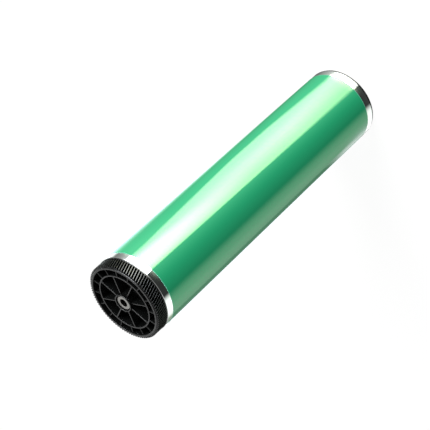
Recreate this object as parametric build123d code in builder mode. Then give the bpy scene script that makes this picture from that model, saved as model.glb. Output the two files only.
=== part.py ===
from build123d import *
from math import atan, cos, degrees, pi, radians, sin, tan
import os

# Lengths are in millimetres. The drum stands on its rear end, with its axis on Z.

# Tube: drawn aluminium, turned to length
tube_radius = 40.0
tube_wall = 2.0
tube_length = 341.0
tube_chamfer = 0.3

# Photoconductor coating, and the bands of the tube that it leaves bare.
# The real layers are about 0.03 thick: the solid is thicker, so that it can be handled.
coating_thickness = 0.2
gear_end_band = 7.2
rear_end_band = 9.9

# Machine's drum shaft, and the two bushes that run on it
shaft_radius = 4.0
shaft_clearance = 0.02
bush_radius = 7.0
bush_chamfer = 0.2
gear_bush_length = 16.0
rear_bush_length = 10.0

# Spigots that hold both flanges in the tube
spigot_clearance = 0.05
spigot_wall = 2.0
spigot_length = 12.0
spigot_lead_in = 0.8

# Helical teeth, left-handed, as large as the tube's outside leaves room for
normal_module = 0.8
pressure_angle = 20.0
helix_angle = 18.6
dedendum = 1.0
tip_inset = 0.4
tooth_width = 10.8

# Front of the gear flange
disc_thickness = 1.4
disc_inset = 0.1
rim_wall = 2.3
rim_step = 0.3
rim_stand_out = 0.8
rim_chamfer = 0.3

# Webs, ring walls and ribs of both flanges
web_thickness = 2.0
rib_thickness = 1.0
rib_recess = 1.0
ring_wall_thickness = 1.35
outer_pocket_width = 6.6
gear_outer_rib_count = 16
rear_outer_rib_count = 8
spoke_count = 8
spoke_start_angle = 11.25

# Hubs
hub_recess_gap = 1.05
hub_recess_depth = 3.0
hub_lip = 1.05
hub_lip_chamfer = 0.3
boss_stand_out = 1.1
bush_shoulder = 2.0
bush_shoulder_width = 1.5

# Rear flange
lip_thickness = 1.0
lip_inset = 0.6
rear_pocket_depth = 4.0
rear_hub_recess = 0.5
rear_rib_height = 5.0

# Ground plate, its barbs, and the stakes that hold it
plate_thickness = 0.4
plate_ring_radius = 12.0
plate_shaft_gap = 0.6
arm_count = 2
arm_width = 7.0
arm_start_angle = 90.0
barb_height = 4.0
stake_circle_radius = 22.0
stake_width = 3.0
stake_boss_width = 8.0
stake_head_width = 5.2
stake_head_height = 1.2
stake_head_taper = 30.0
stake_clearance = 0.05

# Heights and radii that follow from the sizes above
tube_inside = tube_radius - tube_wall
tube_bottom = lip_thickness
tube_top = tube_bottom + tube_length
shoulder_radius = bush_radius - bush_shoulder_width
spigot_radius = tube_inside - spigot_clearance
spigot_inside = spigot_radius - spigot_wall
hub_recess_radius = bush_radius + hub_recess_gap
hub_radius = hub_recess_radius + hub_lip

transverse_module = normal_module / cos(radians(helix_angle))
largest_pitch_radius = tube_radius - tip_inset - normal_module
tooth_count = round(2 * largest_pitch_radius / transverse_module)
pitch_radius = tooth_count * transverse_module / 2
tip_radius = pitch_radius + normal_module
root_radius = pitch_radius - dedendum

teeth_bottom = tube_top + disc_thickness
teeth_top = teeth_bottom + tooth_width
rim_top = teeth_top + rim_stand_out
rim_inside = root_radius - rim_wall
boss_top = rim_top + boss_stand_out
gear_bush_bottom = rim_top - gear_bush_length
gear_hub_bottom = gear_bush_bottom - bush_shoulder


def ring_section(inside, outside, bottom, top):
    """Half section of a ring about the drum's axis, between two radii and two heights."""
    with Locations(((inside + outside) / 2, (bottom + top) / 2)):
        Rectangle(outside - inside, top - bottom)


def radial_ribs(inside, outside, count, start_angle):
    """Plan of straight ribs that run outwards between two radii, evenly spaced."""
    with PolarLocations((inside + outside) / 2, count, start_angle):
        Rectangle(outside - inside, rib_thickness)


def rib_pattern(rim_radius, outer_rib_count):
    """Plan of a flange's ribs: a round wall, short ribs to the rim, and spokes to the hub."""
    wall_outside = rim_radius - outer_pocket_width
    wall_middle = wall_outside - ring_wall_thickness / 2
    Circle(wall_outside)
    Circle(wall_outside - ring_wall_thickness, mode=Mode.SUBTRACT)
    radial_ribs(wall_middle, rim_radius + rib_thickness, outer_rib_count, 0)
    radial_ribs(bush_radius, wall_middle, spoke_count, spoke_start_angle)


# Tube
with BuildPart() as drum_tube:
    with BuildSketch(Plane.XY.offset(tube_bottom)):
        Circle(tube_radius)
        Circle(tube_inside, mode=Mode.SUBTRACT)
    extrude(amount=tube_length)
    outer_edges = drum_tube.edges().filter_by(GeomType.CIRCLE).sort_by(SortBy.RADIUS)[-2:]
    chamfer(outer_edges, length=tube_chamfer)

# Coating
coating_bottom = tube_bottom + rear_end_band
coating_length = tube_length - rear_end_band - gear_end_band
with BuildPart() as photoconductor_coating:
    with BuildSketch(Plane.XY.offset(coating_bottom)):
        Circle(tube_radius + coating_thickness)
        Circle(tube_radius, mode=Mode.SUBTRACT)
    extrude(amount=coating_length)

# Gear teeth: their shape across the axis
transverse_pressure_angle = atan(tan(radians(pressure_angle)) / cos(radians(helix_angle)))
base_radius = pitch_radius * cos(transverse_pressure_angle)
tooth_pitch_angle = 2 * pi / tooth_count


def involute(radius):
    """Angle by which the involute of the base circle has turned at a radius, in radians."""
    tangent = ((radius / base_radius) ** 2 - 1) ** 0.5
    return tangent - atan(tangent)


def half_tooth_angle(radius):
    """Half of the angle that a tooth takes up at a radius, between its involute flanks."""
    return tooth_pitch_angle / 4 + involute(pitch_radius) - involute(radius)


def polar_point(radius, angle):
    """Point at a radius and an angle from the X axis."""
    return (radius * cos(angle), radius * sin(angle))


# One tooth and the gap after it. Each flank runs straight between its involute's ends.
root_angle = half_tooth_angle(root_radius)
tip_angle = half_tooth_angle(tip_radius)
next_root_angle = tooth_pitch_angle - root_angle
core_radius = root_radius - dedendum
with BuildSketch() as gear_section:
    with BuildLine():
        Polyline(
            polar_point(core_radius, -root_angle),
            polar_point(root_radius, -root_angle),
            polar_point(tip_radius, -tip_angle),
            polar_point(tip_radius, tip_angle),
            polar_point(root_radius, root_angle),
            polar_point(root_radius, next_root_angle),
            polar_point(core_radius, next_root_angle),
            close=True,
        )
    make_face()
    with PolarLocations(0, tooth_count):
        add(gear_section.sketch)
    Circle(core_radius)

# Toothed ring: the section rises to the same section turned by the helix
teeth_turn = degrees(tooth_width * tan(radians(helix_angle)) / pitch_radius)
with BuildPart() as toothed_ring:
    for height, turn in ((teeth_bottom, 0), (teeth_top, -teeth_turn)):
        with BuildSketch(Plane.XY.offset(height).rotated((0, 0, turn))):
            add(gear_section.sketch)
    loft(ruled=True)
    with Locations((0, 0, teeth_top)):
        Hole(radius=(rim_inside + core_radius) / 2)

# Gear flange
with BuildPart() as gear_flange:
    with BuildSketch(Plane.XZ):
        ring_section(0, rim_inside, tube_top, tube_top + web_thickness)
        ring_section(rim_inside, tube_radius - disc_inset, tube_top, teeth_bottom)
        ring_section(rim_inside, root_radius - rim_step, teeth_bottom, rim_top)
        ring_section(0, hub_radius, gear_hub_bottom, boss_top)
        ring_section(spigot_inside, spigot_radius, tube_top - spigot_length, tube_top)
    revolve(axis=Axis.Z)
    rim_face = gear_flange.faces().filter_by(Axis.Z).group_by(Axis.Z)[-2]
    chamfer(rim_face.edges(), length=rim_chamfer)
    spigot_edges = gear_flange.edges().group_by(Axis.Z)[0].sort_by(SortBy.RADIUS)
    chamfer(spigot_edges[-1], length=spigot_lead_in)
    chamfer(gear_flange.edges().group_by(Axis.Z)[-1], length=hub_lip_chamfer)
    with BuildSketch(Plane.XY.offset(tube_top)):
        rib_pattern(rim_inside, gear_outer_rib_count)
    extrude(amount=rim_top - rib_recess - tube_top)
    with Locations((0, 0, boss_top)):
        CounterBoreHole(
            radius=bush_radius,
            counter_bore_radius=hub_recess_radius,
            counter_bore_depth=hub_recess_depth,
            depth=boss_top - gear_bush_bottom,
        )
        Hole(radius=shoulder_radius)
    add(toothed_ring.part)

# Rear flange
plate_bottom = tube_bottom + spigot_length
plate_top = plate_bottom + plate_thickness
rear_bush_bottom = plate_bottom - rear_bush_length
rear_web_top = rear_pocket_depth + web_thickness
with BuildPart() as rear_flange:
    with BuildSketch(Plane.XZ):
        ring_section(0, spigot_inside, rear_pocket_depth, rear_web_top)
        ring_section(spigot_inside, tube_radius - lip_inset, 0, tube_bottom)
        ring_section(spigot_inside, spigot_radius, tube_bottom, plate_bottom)
        ring_section(0, hub_radius, rear_hub_recess, plate_bottom)
    revolve(axis=Axis.Z)
    spigot_edges = rear_flange.edges().group_by(Axis.Z)[-1].sort_by(SortBy.RADIUS)
    chamfer(spigot_edges[-1], length=spigot_lead_in)
    with BuildSketch(Plane.XY.offset(rib_recess)):
        rib_pattern(spigot_inside, rear_outer_rib_count)
    extrude(amount=rear_pocket_depth - rib_recess)
    with BuildSketch(Plane.XY.offset(rear_web_top)):
        radial_ribs(bush_radius, spigot_radius - spigot_wall / 2, spoke_count, spoke_start_angle)
    extrude(amount=rear_rib_height)
    with BuildSketch(Plane.XY.offset(rear_web_top)):
        with PolarLocations(stake_circle_radius, arm_count, arm_start_angle):
            Rectangle(stake_boss_width, stake_boss_width)
    extrude(amount=plate_bottom - rear_web_top)
    with BuildSketch(Plane.XY.offset(plate_bottom)):
        with PolarLocations(stake_circle_radius, arm_count, arm_start_angle):
            Rectangle(stake_width, stake_width)
    extrude(amount=plate_thickness)
    with BuildSketch(Plane.XY.offset(plate_top)):
        with PolarLocations(stake_circle_radius, arm_count, arm_start_angle):
            Rectangle(stake_head_width, stake_head_width)
    extrude(amount=stake_head_height, taper=stake_head_taper)
    with BuildSketch(Plane.XY.offset(rear_bush_bottom)):
        Circle(bush_radius)
    extrude(amount=rear_bush_length, mode=Mode.SUBTRACT)
    with Locations((0, 0, rear_bush_bottom)):
        Hole(radius=shoulder_radius)


def bush(bottom, length):
    """Plain bush for the drum shaft, chamfered at the mouths of its bore."""
    with BuildPart() as ring:
        with BuildSketch(Plane.XY.offset(bottom)):
            Circle(bush_radius)
            Circle(shaft_radius + shaft_clearance, mode=Mode.SUBTRACT)
        extrude(amount=length)
        bore_mouths = ring.edges().filter_by(GeomType.CIRCLE).sort_by(SortBy.RADIUS)[:2]
        chamfer(bore_mouths, length=bush_chamfer)
    return ring


gear_flange_bush = bush(gear_bush_bottom, gear_bush_length)
rear_flange_bush = bush(rear_bush_bottom, rear_bush_length)

# Ground plate: a ring on the bush, and arms whose turned-up ends press on the tube
stake_hole_width = stake_width + 2 * stake_clearance
with BuildPart() as ground_plate:
    with BuildSketch(Plane.XY.offset(plate_bottom)):
        with PolarLocations((tube_inside + arm_width) / 2, arm_count, arm_start_angle):
            Rectangle(tube_inside + arm_width, arm_width)
        Circle(tube_inside, mode=Mode.INTERSECT)
        Circle(plate_ring_radius)
        Circle(shaft_radius + plate_shaft_gap, mode=Mode.SUBTRACT)
        with PolarLocations(stake_circle_radius, arm_count, arm_start_angle):
            Rectangle(stake_hole_width, stake_hole_width, mode=Mode.SUBTRACT)
    extrude(amount=plate_thickness)
    with BuildSketch(Plane.XY.offset(plate_top)):
        Circle(tube_inside)
        Circle(tube_inside - plate_thickness, mode=Mode.SUBTRACT)
        with PolarLocations((tube_inside + arm_width) / 2, arm_count, arm_start_angle):
            Rectangle(tube_inside + arm_width, arm_width, mode=Mode.INTERSECT)
    extrude(amount=barb_height)

pieces = {
    "drum_tube": drum_tube,
    "photoconductor_coating": photoconductor_coating,
    "gear_flange": gear_flange,
    "gear_flange_bush": gear_flange_bush,
    "rear_flange": rear_flange,
    "rear_flange_bush": rear_flange_bush,
    "ground_plate": ground_plate,
}
os.makedirs("parts", exist_ok=True)
for name, piece in pieces.items():
    piece.part.label = name
    export_step(piece.part, f"parts/{name}.step")
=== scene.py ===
from math import cos, degrees, pi, radians, sin

import bpy
import numpy as np
from mathutils import Matrix, Vector


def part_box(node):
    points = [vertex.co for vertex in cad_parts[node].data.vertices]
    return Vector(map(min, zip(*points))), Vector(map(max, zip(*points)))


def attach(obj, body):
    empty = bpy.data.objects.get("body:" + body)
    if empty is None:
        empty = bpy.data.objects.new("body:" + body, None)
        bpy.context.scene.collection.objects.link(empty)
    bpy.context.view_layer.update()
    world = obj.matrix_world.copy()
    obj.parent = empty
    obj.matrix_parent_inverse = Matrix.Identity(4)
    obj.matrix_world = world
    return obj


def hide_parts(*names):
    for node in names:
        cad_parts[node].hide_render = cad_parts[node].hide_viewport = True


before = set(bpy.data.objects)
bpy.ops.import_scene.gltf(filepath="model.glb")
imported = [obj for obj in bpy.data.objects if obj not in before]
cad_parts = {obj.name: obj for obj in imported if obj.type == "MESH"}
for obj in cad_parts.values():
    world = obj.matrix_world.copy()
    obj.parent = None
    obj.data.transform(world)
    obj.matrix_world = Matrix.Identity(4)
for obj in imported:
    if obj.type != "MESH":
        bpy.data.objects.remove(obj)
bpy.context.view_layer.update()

# Camera: a long lens above the gear end, which looks down the drum at 36 degrees.
# It is rolled, so that the drum lies from the lower left to the upper right of the picture.
camera_distance, camera_height = 0.973968, 0.919432
camera_right = (-0.6764124, -0.42969389, -0.59818846)
camera_up = (0.73651956, -0.39714001, -0.54755708)
camera_back = (-0.00228264, -0.81095189, 0.58510838)
camera = bpy.data.objects.new("camera", bpy.data.cameras.new("camera"))
camera.data.lens = 106.155
camera.data.sensor_width = 36.0
camera_turn = Matrix((camera_right, camera_up, camera_back)).transposed().to_4x4()
camera_place = Matrix.Translation((0.0, -camera_distance, camera_height))
camera.matrix_world = camera_place @ camera_turn
bpy.context.scene.collection.objects.link(camera)
bpy.context.scene.camera = camera


# Drum tube: drawn aluminium, turned to size, and bare and bright outside the coating.
# The lathe leaves fine rings and a small chamfer at each end, and both flanges press into it.
# The rear edge is painted near black over its last millimetre and a half, where the flange's lip
# meets it.
class Value:
    """A node's output. Arithmetic on it adds Math nodes to the same tree."""

    def __init__(self, nodes, socket):
        self.nodes = nodes
        self.socket = socket

    def math(self, operation, *others):
        """A Math node on this value and the others, in that order."""
        inputs = dict(enumerate((self, *others)))
        return self.nodes.add("ShaderNodeMath", inputs, operation=operation)

    def __add__(self, other):
        return self.math("ADD", other)

    def __sub__(self, other):
        return self.math("SUBTRACT", other)

    def __mul__(self, other):
        return self.math("MULTIPLY", other)

    def __truediv__(self, other):
        return self.math("DIVIDE", other)

    def __rsub__(self, other):
        return self.nodes.add("ShaderNodeMath", {0: other, 1: self}, operation="SUBTRACT")

    __radd__ = __add__
    __rmul__ = __mul__


class Nodes:
    """The nodes of one material, or of the world."""

    def __init__(self, owner):
        owner.use_nodes = True
        self.owner = owner
        self.tree = owner.node_tree
        self.tree.nodes.clear()

    def add(self, kind, inputs=None, output=0, stops=None, **settings):
        """Adds a node: settings first, then a ramp's stops, then values or links of sockets."""
        node = self.tree.nodes.new(kind)
        for name, value in settings.items():
            setattr(node, name, value)
        for index, (place, colour) in enumerate(stops or []):
            ramp = node.color_ramp.elements
            stop = ramp[index] if index < 2 else ramp.new(place)
            stop.position = place
            stop.color = (*colour, 1.0)
        for name, value in (inputs or {}).items():
            if isinstance(value, Value):
                self.tree.links.new(value.socket, node.inputs[name])
            else:
                node.inputs[name].default_value = value
        return Value(self, node.outputs[output]) if node.outputs else None

    def place(self, axis=None):
        """Place on the piece in metres, or one of its coordinates."""
        point = self.add("ShaderNodeTexCoord", output="Object")
        if axis is None:
            return point
        return self.add("ShaderNodeSeparateXYZ", {0: point}, output="XYZ".index(axis))

    def from_axis(self):
        """Distance from the drum's axis in metres."""
        flat = {0: self.place(), 1: (1, 1, 0)}
        flat = self.add("ShaderNodeVectorMath", flat, operation="MULTIPLY")
        return self.add("ShaderNodeVectorMath", {0: flat}, output=1, operation="LENGTH")

    def noise(self, per_metre, detail):
        """Noise from 0 to 1, with about so many blotches in a metre."""
        inputs = {"Vector": self.place(), "Scale": per_metre, "Detail": detail}
        return self.add("ShaderNodeTexNoise", inputs)

    def lines(self, place):
        """Noise from 0 to 1 along one value, for the marks of a tool or of rolls."""
        inputs = {"W": place, "Scale": 1.0, "Detail": 2.0}
        return self.add("ShaderNodeTexNoise", inputs, noise_dimensions="1D")

    def mix(self, factor, colour, other):
        """Blend from one colour to another."""
        inputs = {0: factor}
        for index, end in ((6, colour), (7, other)):
            inputs[index] = end if isinstance(end, Value) else (*end, 1.0)
        return self.add("ShaderNodeMix", inputs, output=2, data_type="RGBA")

    def ramp(self, value, low, high, start=0.0, end=1.0):
        """Value that goes from start to end while another goes from low to high."""
        inputs = {0: value, 1: low, 2: high, 3: start, 4: end}
        return self.add("ShaderNodeMapRange", inputs)

    def curve(self, value, stops):
        """Value that goes straight from stop to stop while another grows."""
        start, end = stops[0][0], stops[-1][0]
        top = max(level for place, level in stops)
        part = self.ramp(value, start, end)
        greys = [((place - start) / (end - start), (level / top,) * 3) for place, level in stops]
        return self.add("ShaderNodeValToRGB", {0: part}, stops=greys) * top

    def bump(self, height, distance, strength=1.0):
        """Surface direction over a height from 0 to 1, with a depth in metres."""
        inputs = {"Height": height, "Distance": distance, "Strength": strength}
        return self.add("ShaderNodeBump", inputs)

    def surface(self, **sockets):
        """Ends the tree in one shader, with its sockets given in lower case."""
        inputs = {name.replace("_", " ").title(): value for name, value in sockets.items()}
        inputs = {name.replace("Ior", "IOR"): value for name, value in inputs.items()}
        shader = self.add("ShaderNodeBsdfPrincipled", inputs)
        self.add("ShaderNodeOutputMaterial", {"Surface": shader})
        return self.owner


def shaped(name, points, faces):
    """Object from arrays of points and lists of faces, smooth except over edges of 35 degrees."""
    mesh = bpy.data.meshes.new(name)
    mesh.from_pydata(points.reshape(-1, 3).tolist(), [], faces)
    mesh.shade_smooth()
    mesh.set_sharp_from_angle(angle=radians(35))
    piece = bpy.data.objects.new(name, mesh)
    bpy.context.scene.collection.objects.link(piece)
    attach(piece, "root")
    return piece


def skin(name, points):
    """Closed skin over rows of points. Each row is a loop round the axis, joined at its ends,
    and the last row joins the first, so that point (i, j) meets (i+1, j) and (i, j+1)."""
    rows, columns = points.shape[:2]
    row, column = (grid.ravel() for grid in np.mgrid[0:rows, 0:columns])
    here, up = row * columns, (row + 1) % rows * columns
    beside = (column + 1) % columns
    faces = np.stack([here + column, here + beside, up + beside, up + column], axis=-1)
    return shaped(name, points, faces.tolist())


def turned(name, profile, steps=288):
    """Surface of revolution about Z. A point is (r cos a, r sin a, z), where (r, z) runs along
    the profile, up on the outside and down inside, and a runs once round."""
    radius, height = np.array(profile).T[:, :, None]
    angle = np.arange(steps) * 2 * pi / steps
    rings = (radius * np.cos(angle), radius * np.sin(angle), height + 0 * angle)
    return skin(name, np.stack(rings, axis=-1))


def eased(corners, radius, steps=4):
    """Closed profile through corners, each replaced by an arc. An arc's points lie between the
    two sides: corner + (1-t)^2 of the way to one and t^2 of the way to the other. One more point
    on each side keeps the flat there flat."""
    corners = np.array(corners)
    before = np.roll(corners, 1, axis=0) - corners
    after = np.roll(corners, -1, axis=0) - corners
    reach = np.minimum(np.hypot(*before.T), np.hypot(*after.T)) * 0.4
    reach = np.minimum(reach, radius)[:, None, None]
    before = before / np.hypot(*before.T)[:, None]
    after = after / np.hypot(*after.T)[:, None]
    t = np.linspace(0, 1, steps)
    share_before = np.concatenate([[1.2], (1 - t) ** 2, [0]])[None, :, None]
    share_after = np.concatenate([[0], t**2, [1.2]])[None, :, None]
    away = share_before * before[:, None] + share_after * after[:, None]
    return (corners[:, None] + reach * away).reshape(-1, 2)


tube_low, tube_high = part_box("drum_tube")
tube_radius = tube_high.x
tube_inside = tube_radius - 0.002
tube_chamfer, tube_edge = 0.0003, 0.00008
tube_corners = [
    (tube_radius - tube_chamfer, tube_low.z),
    (tube_radius, tube_low.z + tube_chamfer),
    (tube_radius, tube_high.z - tube_chamfer),
    (tube_radius - tube_chamfer, tube_high.z),
    (tube_inside + tube_chamfer, tube_high.z),
    (tube_inside, tube_high.z - tube_chamfer),
    (tube_inside, tube_low.z + tube_chamfer),
    (tube_inside + tube_chamfer, tube_low.z),
]
tube = turned("bare_tube", eased(tube_corners, tube_edge))
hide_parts("drum_tube")

aluminium = Nodes(bpy.data.materials.new("turned_aluminium"))
tool_marks = aluminium.lines(aluminium.place("Z") * 9000)
handling = aluminium.noise(90, 4)
clean = aluminium.mix(handling, (0.83, 0.84, 0.84), (0.93, 0.94, 0.93))
# Darker towards the rear edge: the base colour is painted near black below 1.2 mm from the end
# and fades out by 1.7 mm.
dark_rear_edge = aluminium.ramp(aluminium.place("Z"), tube_low.z + 0.0017, tube_low.z + 0.0012)
tube.data.materials.append(
    aluminium.surface(
        base_color=aluminium.mix(dark_rear_edge, clean, (0.03, 0.03, 0.03)),
        metallic=1.0,
        roughness=0.015 + handling * 0.02 + tool_marks * 0.01,
        normal=aluminium.bump(tool_marks, 0.0000004),
    )
)

# Photoconductor coating: a green layer under a clear one, dipped on and dried glass-smooth.
# It stops short of both ends, and its edge is eased where the solution was wiped back.
coat_low, coat_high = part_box("photoconductor_coating")
coat_outside, coat_inside, coat_edge = coat_high.x, tube_radius - 0.0001, 0.00018
coat_corners = [
    (coat_inside, coat_low.z),
    (coat_outside, coat_low.z),
    (coat_outside, coat_high.z),
    (coat_inside, coat_high.z),
]
coating = turned("dipped_coating", eased(coat_corners, coat_edge, 6))
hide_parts("photoconductor_coating")

green = Nodes(bpy.data.materials.new("green_photoconductor"))
drain = green.noise(7, 2)
green_light, green_dark = (0.036, 0.645, 0.285), (0.033, 0.63, 0.275)
along_drum = green.place("Z")
# Painted highlight: the base colour turns pale mint near both ends of the coating, where its
# eased edge catches the light.
painted_edge_highlight = green.ramp(along_drum, coat_high.z - 0.0006, coat_high.z - 0.0002)
painted_edge_highlight = painted_edge_highlight + green.ramp(along_drum, coat_low.z + 0.0010, coat_low.z + 0.0004)
full_green = green.mix(drain, green_light, green_dark)
coating.data.materials.append(
    green.surface(
        base_color=green.mix(painted_edge_highlight, full_green, (0.24, 0.85, 0.60)),
        metallic=0.06,
        roughness=0.035 + drain * 0.02,
        specular_ior_level=0.0,
        coat_weight=1.0,
        coat_roughness=0.02,
    )
)

# Gear flange: disc, rim, web, hub and spigot of one black acetal moulding, round about the
# axis. Its edges are as soft as the mould's, and the face has a fine grain from spark erosion.
mm, moulded_edge = 0.001, 0.22
gear_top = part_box("gear_flange")[1].z / mm
rim_top = gear_top - 1.1
disc_bottom, disc_top = rim_top - 13, rim_top - 11.6
web_top, spigot_bottom = rim_top - 11, rim_top - 25
spigot_outside, spigot_inside, lead_in = 37.95, 35.95, 0.8
disc_outside, rim_outside, rim_inside, rim_edge = 39.9, 37.53, 35.53, 0.3
hub_outside, hub_recess, hub_bottom = 9.1, 8.05, rim_top - 18
seat_outside, seat_bottom, seat_lip = 7.0, rim_top - 16, 5.5
flange_corners = [
    (spigot_outside - lead_in, spigot_bottom), (spigot_outside, spigot_bottom + lead_in),
    (spigot_outside, disc_bottom), (disc_outside, disc_bottom), (disc_outside, disc_top),
    (rim_outside, disc_top), (rim_outside, rim_top - rim_edge), (rim_outside - rim_edge, rim_top),
    (rim_inside + rim_edge, rim_top), (rim_inside, rim_top - rim_edge), (rim_inside, web_top),
    (hub_outside, web_top), (hub_outside, gear_top - 0.4), (hub_outside - 0.15, gear_top - 0.1),
    (hub_outside - 0.4, gear_top), (hub_recess + 0.3, gear_top), (hub_recess, gear_top - 0.2),
    (hub_recess, gear_top - 3), (seat_outside, gear_top - 3),
    (seat_outside, seat_bottom), (seat_lip, seat_bottom), (seat_lip, hub_bottom),
    (hub_outside, hub_bottom), (hub_outside, disc_bottom),
    (spigot_inside, disc_bottom), (spigot_inside, spigot_bottom),
]
flange_body = turned("gear_flange_body", eased(flange_corners, moulded_edge) * mm)
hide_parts("gear_flange")

black = Nodes(bpy.data.materials.new("black_moulding"))
grain = black.noise(5200, 2)
flow = black.noise(60, 3)
black_moulding = black.surface(
    base_color=black.mix(flow, (0.0045, 0.005, 0.005), (0.007, 0.0075, 0.0075)),
    roughness=0.22 + flow * 0.08,
    normal=black.bump(grain, 0.000008, 0.5),
)
flange_body.data.materials.append(black_moulding)


# Gear teeth: 92 left-hand helical teeth of module 0.8, moulded with the flange.
# Their tips and ends are a little rounded, as plastic leaves the mould. Running has burnished
# the tips, the outer ends are as smooth as the rim, and the gaps hold a dull dark film.
tooth_count, tooth_module, helix = 92, 0.8, radians(18.6)
pitch_radius = tooth_count * tooth_module / cos(helix) / 2
tooth_radii = pitch_radius + np.array([-1.25, 0, 1]) * tooth_module
tooth_bottom, tooth_top = disc_top, disc_top + 10.8
tooth_edge, tooth_round = 0.13, 0.18


def involute(radius):
    """Turn of the involute at a radius: tan a - a, where cos a is base radius / radius."""
    pressure = np.arctan(np.tan(radians(20)) / cos(helix))
    slope = np.arccos(pitch_radius * np.cos(pressure) / radius)
    return np.tan(slope) - slope


def toothed_ring():
    """Ring of teeth. Across the axis each flank is an involute from root to tip, with eased
    corners. A row at height z is that outline turned by z tan(helix) / pitch radius; at the ends
    the outline draws in by a quarter circle, then goes in to the body's core."""
    half_tooth = pi / 2 / tooth_count + involute(pitch_radius) - involute(tooth_radii)
    flank_turns = np.concatenate([-half_tooth, half_tooth[::-1]])
    flank_radii = np.concatenate([tooth_radii, tooth_radii[::-1]])
    turns = np.arange(tooth_count)[:, None] * 2 * pi / tooth_count + flank_turns
    corners = np.stack([flank_radii * np.cos(turns), flank_radii * np.sin(turns)], axis=-1)
    outline = eased(corners.reshape(-1, 2), tooth_edge)
    radius = np.hypot(*outline.T)
    angle = np.arctan2(outline[:, 1], outline[:, 0])
    quarter = np.linspace(0, pi / 2, 4)
    round_in, round_up = tooth_round * (1 - np.sin(quarter)), tooth_round * (1 - np.cos(quarter))
    rise = np.linspace(tooth_bottom + 0.3, tooth_top - 0.3, 7)
    height = np.concatenate(
        [[tooth_bottom], tooth_bottom + round_up, rise, tooth_top - round_up[::-1], [tooth_top]]
    )
    inset = np.concatenate([[0], round_in, 0 * rise, round_in[::-1], [0]])
    grid = radius[None, :] - inset[:, None]
    grid[0] = grid[-1] = tooth_radii[0] - 1
    turn = angle[None, :] - ((height - tooth_bottom) * np.tan(helix) / pitch_radius)[:, None]
    points = (grid * np.cos(turn), grid * np.sin(turn), height[:, None] + 0 * turn)
    return skin("gear_teeth", np.stack(points, axis=-1) * mm)


worn = Nodes(bpy.data.materials.new("worn_teeth"))
film = worn.noise(400, 3)
tip_start, tip_radius = 0.03952, 0.03963
end_start, end_face = (tooth_top - 0.2) * mm, (tooth_top - 0.05) * mm
tip_gloss = worn.ramp(worn.from_axis(), tip_start, tip_radius, 0.0, 0.73)
end_gloss = worn.ramp(worn.place("Z"), end_start, end_face, 0.0, 0.7)
worn_teeth = worn.surface(
    base_color=worn.mix(film, (0.004, 0.0045, 0.0045), (0.006, 0.0065, 0.0065)),
    roughness=0.5,
    specular_ior_level=0.0,
    coat_weight=tip_gloss.math("MAXIMUM", end_gloss),
    coat_roughness=0.2,
)
gear_teeth = toothed_ring()
gear_teeth.data.materials.append(worn_teeth)
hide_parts("gear_flange")

# Ribs of the gear flange: a round wall in its face, sixteen short ribs out to the rim and
# eight spokes in to the hub, 1 mm thick and a millimetre below the rim. All belong to the one
# moulding, and the short ribs are duller than the rest.
wall_outside, wall_inside = rim_inside - 6.6, rim_inside - 7.95
rib_top, rib_foot, rib_half, rib_edge = rim_top - 1, web_top - 0.3, 0.5, 0.25
wall_corners = [
    (wall_outside, rib_foot), (wall_outside, rib_top),
    (wall_inside, rib_top), (wall_inside, rib_foot),
]
rib_wall = turned("rib_wall", eased(wall_corners, rib_edge) * mm)


def ribs(name, start, end, count, first):
    """Straight ribs. A rib's section, a bar with eased edges, is carried from the start radius
    to the end radius: a point is r along the rib's direction and w across it, at height z."""
    bar = [(-rib_half, rib_foot), (rib_half, rib_foot), (rib_half, rib_top), (-rib_half, rib_top)]
    across, height = eased(bar, rib_edge).T
    angle = radians(first) + np.arange(count)[:, None, None] * 2 * pi / count
    along = np.array([start, end])[None, :, None]
    points = np.stack(
        [
            along * np.cos(angle) - across * np.sin(angle),
            along * np.sin(angle) + across * np.cos(angle),
            height + 0 * along * angle,
        ],
        axis=-1,
    )
    step, corner = len(across), np.arange(len(across))
    beside = (corner + 1) % step
    sides = np.stack([corner + step, beside + step, beside, corner], axis=-1)
    ends = np.stack([corner, (corner + step)[::-1]])
    base = np.arange(count)[:, None, None] * 2 * step
    faces = (sides + base).reshape(-1, 4).tolist() + (ends + base).reshape(-1, step).tolist()
    return shaped(name, points * mm, faces)


buried = 0.6
short_ribs = ribs("short_ribs", wall_outside - buried, rim_inside + buried, 16, 0)
spokes = ribs("spokes", hub_outside - buried, wall_inside + buried, 8, 11.25)
dull = Nodes(bpy.data.materials.new("dull_moulding"))
dull_moulding = dull.surface(
    base_color=(0.006, 0.0065, 0.0065, 1.0),
    roughness=0.3,
    specular_ior_level=0.2,
    normal=dull.bump(dull.noise(5200, 2), 0.000008, 0.5),
)
for piece in (rib_wall, short_ribs, spokes):
    piece.data.materials.append(dull_moulding if piece is short_ribs else black_moulding)
    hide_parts("gear_flange")

# Bush in the gear flange: turned steel, pressed into the hub, with a chamfered bore that runs
# on the machine's shaft. Its flat end shows the rings of the facing cut.
bush_low, bush_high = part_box("gear_flange_bush")
bore_radius, bore_chamfer, bush_edge = 0.00402, 0.0002, 0.0003


def bush(name, low, high):
    """Surface of revolution over the half section of a bush, with its bore chamfered."""
    profile = [
        (high.x, low.z),
        (high.x, high.z),
        (bore_radius + bore_chamfer, high.z),
        (bore_radius, high.z - bore_chamfer),
        (bore_radius, low.z + bore_chamfer),
        (bore_radius + bore_chamfer, low.z),
    ]
    return turned(name, eased(profile, bush_edge), steps=144)


gear_bush = bush("turned_bush", bush_low, bush_high)
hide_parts("gear_flange_bush")

steel = Nodes(bpy.data.materials.new("turned_steel"))
facing_rings = steel.lines(steel.from_axis() * 3000 + steel.place("Z") * 3000)
oil = steel.noise(400, 3)
turned_steel = steel.surface(
    base_color=steel.mix(oil, (0.25, 0.247, 0.233), (0.33, 0.326, 0.31)),
    metallic=1.0,
    roughness=0.24 + oil * 0.10,
    anisotropic=0.7,
    normal=steel.bump(facing_rings, 0.00008),
)
gear_bush.data.materials.append(turned_steel)

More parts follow.
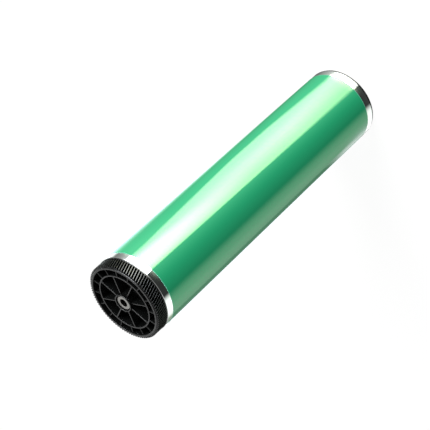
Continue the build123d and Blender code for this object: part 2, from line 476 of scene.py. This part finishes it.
# Rear flange: the plain black moulding that closes the other end and carries the drum there.
# Its ribs and web are in the CAD node, which keeps its shape and takes the same material.
rear_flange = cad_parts["rear_flange"]
rear_flange.data.materials.clear()
rear_flange.data.materials.append(black_moulding)

# Rear bush: a shorter piece of the same turned steel, pressed into the rear hub from the
# end. The machine's shaft runs through both bushes.
rear_low, rear_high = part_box("rear_flange_bush")
rear_bush = bush("rear_turned_bush", rear_low, rear_high)
rear_bush.data.materials.append(turned_steel)
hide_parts("rear_flange_bush")

# Ground plate: stamped spring steel inside the tube, which joins the tube to the shaft.
# Rolled strip, with fine lines along it and a slightly duller surface than the bushes.
ground_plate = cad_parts["ground_plate"]
strip = Nodes(bpy.data.materials.new("spring_strip"))
rolling = strip.lines(strip.place("X") * 7000)
ground_plate.data.materials.clear()
ground_plate.data.materials.append(
    strip.surface(
        base_color=strip.mix(rolling, (0.60, 0.59, 0.56), (0.72, 0.71, 0.68)),
        metallic=1.0,
        roughness=0.24 + rolling * 0.1,
        normal=strip.bump(rolling, 0.000003),
    )
)

# Floor: a matt white sheet that the drum stands on. It glows white for the camera only, and
# its paint adds the little that a shadow takes away. Mirror reflections show the studio instead.
floor_half = 6.0
signs = ((-1, -1), (1, -1), (1, 1), (-1, 1))
floor_corners = [(x * floor_half, y * floor_half, 0) for x, y in signs]
floor_mesh = bpy.data.meshes.new("floor")
floor_mesh.from_pydata(floor_corners, [], [(0, 1, 2, 3)])
floor = bpy.data.objects.new("floor", floor_mesh)
bpy.context.scene.collection.objects.link(floor)
floor.visible_glossy = False
floor.visible_diffuse = False
sheet = Nodes(bpy.data.materials.new("white_sheet"))
seen = sheet.add("ShaderNodeLightPath", output="Is Camera Ray")
paint = sheet.add("ShaderNodeBsdfDiffuse", {"Color": (0.16, 0.16, 0.16, 1.0)})
paint_lit = sheet.add("ShaderNodeBsdfDiffuse", {"Color": (0.85, 0.85, 0.85, 1.0)})
glow = sheet.add("ShaderNodeEmission", {"Color": (0.93, 0.93, 0.93, 1.0), "Strength": 1.0})
to_camera = sheet.add("ShaderNodeAddShader", {0: paint, 1: glow})
sheet.add(
    "ShaderNodeOutputMaterial",
    {"Surface": sheet.add("ShaderNodeMixShader", {0: seen, 1: paint_lit, 2: to_camera})},
)
floor_mesh.materials.append(sheet.owner)

# Key light: a large soft lamp to the left of the picture, well above the gear end. It gives
# the black mouldings their faint shading, and mirrors don't see it.
key_azimuth, key_elevation = radians(326), radians(25)
key = bpy.data.objects.new("key_light", bpy.data.lights.new("key_light", "SUN"))
key.data.energy = 2.6
key.data.angle = radians(35)
key.visible_glossy = False
level_reach = cos(key_elevation)
towards_key = Vector(
    (level_reach * cos(key_azimuth), level_reach * sin(key_azimuth), sin(key_elevation))
)
key.rotation_euler = towards_key.to_track_quat("Z", "Y").to_euler()
bpy.context.scene.collection.objects.link(key)

# Studio: what bright surfaces mirror. A drum mirrors each direction at one angle round it and
# at one height, so a softbox, the gap beside it, the walls and a ceiling are laid out by these
# two. Surfaces that mirror nothing get a plain fill, and the camera sees white.
world = bpy.data.worlds.new("studio")
bpy.context.scene.world = world
world.cycles.sampling_method = "NONE"
studio = Nodes(world)


def past(place, blur):
    """0 before a place round the drum and 1 after it, with a soft edge."""
    return studio.ramp(side - place, 0 - blur, blur)


def lit(colour, level):
    """A colour at a level of light."""
    return studio.add("ShaderNodeVectorMath", {0: colour, "Scale": level}, operation="SCALE")


# A direction's side is the angle, in degrees round the drum, at which the camera sees it in the
# coating. The near shift allows for the camera's distance, and the height is in metres.
middle, camera_azimuth, near_shift = 320, 270, 1.21
along = (cos(radians(middle)), sin(radians(middle)), 0)
across = (-sin(radians(middle)), cos(radians(middle)), 0)
sight = studio.add("ShaderNodeTexCoord", output="Generated")
ahead, aside = (
    studio.add("ShaderNodeVectorMath", {0: sight, 1: axis}, output=1, operation="DOT_PRODUCT")
    for axis in (along, across)
)
rise = studio.add("ShaderNodeSeparateXYZ", {0: sight}, output=2)
far_side = aside.math("ARCTAN2", ahead) * degrees(0.5) + (middle + camera_azimuth) / 2
side = far_side - (far_side * radians(1)).math("COSINE") * near_shift
reach = (side * radians(1)).math("SINE") * tube_radius + camera_distance
height = rise / (1 - rise * rise).math("SQRT") * reach + camera_height
lowness = studio.ramp(height, 0.3386, 0.027)
rear_band = studio.ramp(height, coat_low.z, coat_low.z - 0.0005)
on_coating = studio.ramp(height, coat_high.z + 0.0005, coat_high.z - 0.0005) * (1 - rear_band)
above_gear = studio.ramp(height, 0.357, 0.38)

# The softbox, brightest near the gear end. Its edges lean round the drum towards the rear.
metal_end = 311
coating_end = studio.ramp(lowness, 0.06, 0.52, 309.4, 320.0)
coating_end = coating_end - studio.ramp(lowness, 0.7, 1.0, 0.0, 6.4)
box_start = past(277 - lowness * 3.4, studio.ramp(lowness, 0.55, 1.0, 1.0, 2.6))
box_end = on_coating * (coating_end - metal_end) + metal_end
box_end = past(box_end, studio.ramp(lowness, 0.55, 1.0, 1.8, 3.5))
box = box_start * (1 - box_end) * studio.ramp(rise, 0.1, 0.3, 1.0, 0.0)
box_stops = [
    (275, 9.6), (279.5, 10), (287.6, 12.5), (293.9, 13.8), (299.8, 12.2),
    (305.6, 9), (311.9, 6.5), (320, 4.4),
]
blaze_end = 296 - lowness * 22
blaze = studio.ramp(lowness, 0.05, 0.5, 0.85, 0.0) * studio.ramp(side, 275.0, 282.0)
blaze = blaze * studio.ramp(side, blaze_end, blaze_end + 12, 1.0, 0.0)
blaze = blaze + studio.ramp(height, coat_low.z + 0.007, coat_low.z + 0.001, 0.0, 0.8)
dimming = studio.ramp(lowness, 0.75, 1.0, 0.0, 0.24) * studio.ramp(side, 296.0, 306.0, 1.0, 0.0)
box_level = studio.curve(side, box_stops) * (blaze + 1) * (1 - dimming) * (1 - rear_band * 0.87)
box_colour = studio.mix(studio.ramp(side, 292.0, 316.0), (1.0, 1.0, 0.64), (1.0, 1.0, 0.82))
box_colour = studio.mix(on_coating, (0.95, 1.0, 1.06), box_colour)
box_light = lit(box_colour, box_level)

# The walls: a pale one to the right, the dim gap beside the softbox, a white one to the left,
# and what the softbox spills on its surroundings.
wall_stops = [
    (205, 0.78), (208, 0.91), (212, 1.11), (216, 1.32), (220, 1.46), (224, 1.43), (228, 1.42),
    (232, 1.2), (236, 0.67), (239, 0.2), (240.5, 0.03), (370, 0.03), (372, 0.45), (376, 0.24),
    (380, 0.36), (385, 0.78),
]
gap_stops = [
    (305, 0), (308, 0.95), (316, 0.73), (320, 0.53), (324, 0.42), (332, 0.29), (340, 0.17),
    (348, 0.1), (360, 0),
]
white_wall = past(337.5 + lowness * 25 - on_coating * 2.5, lowness * 4 + 6)
white_wall = white_wall * studio.ramp(side, 364.0, 368.0, 1.0, 0.0)
gap_level = on_coating * studio.ramp(lowness, 0.05, 0.25, 1.0, 0.4) + 0.65 + rear_band * 0.35
spill = studio.ramp(side, 256.0, 275.0) * (1 - box_end)
surround = studio.curve(side, wall_stops) * (1.14 - lowness * 0.3) * (1 - above_gear * 0.8)
surround = surround + studio.curve(side, gap_stops) * gap_level * (1 - white_wall)
surround = surround + rear_band * 0.025 + white_wall * 2 + spill * spill * on_coating * 0.9
wall_colour = studio.mix(on_coating, (0.94, 1.0, 0.96), (0.87, 1.08, 0.84))
wall_colour = studio.mix(white_wall * on_coating, wall_colour, (0.85, 1.0, 1.15))
pale_end = studio.ramp(side, 204.0, 222.0, 1.0, 0.0) + studio.ramp(side, 368.0, 372.0)
pale_end = studio.ramp(lowness, 0.88, 1.0, 0.0, 0.95) * pale_end
walls = studio.mix(pale_end, lit(wall_colour, surround), (1.5, 1.5, 1.5))

# The ceiling, with two darker flags, and a bright panel right overhead.
flag_stops = [
    (205, 1), (236, 1), (242, 0.4), (270, 0.4), (276, 1),
    (313, 1), (319, 0.4), (350, 0.4), (358, 1), (385, 1),
]
ceiling = lit((1.0, 1.0, 1.0), studio.curve(side, flag_stops))
upper = studio.ramp(rise, 0.05, 0.3) * (1 - box)
overhead = studio.ramp(rise, 0.72, 0.86) * studio.ramp(aside, -0.3, 0.2)
room = studio.mix(upper, studio.mix(box, walls, box_light), ceiling)
room = studio.mix(overhead, room, (2.6, 2.6, 2.6))
mirrored = studio.add("ShaderNodeLightPath", output="Is Glossy Ray")
in_view = studio.add("ShaderNodeLightPath", output="Is Camera Ray")
fill = (0.262, 0.262, 0.262)
seen_room = studio.mix(mirrored, fill, room)
seen_room = studio.mix(in_view, seen_room, (1.0, 1.0, 1.0))
background = studio.add("ShaderNodeBackground", {"Color": seen_room, "Strength": 1.0})
studio.add("ShaderNodeOutputWorld", {"Surface": background})

bpy.context.scene.view_settings.view_transform = "Standard"
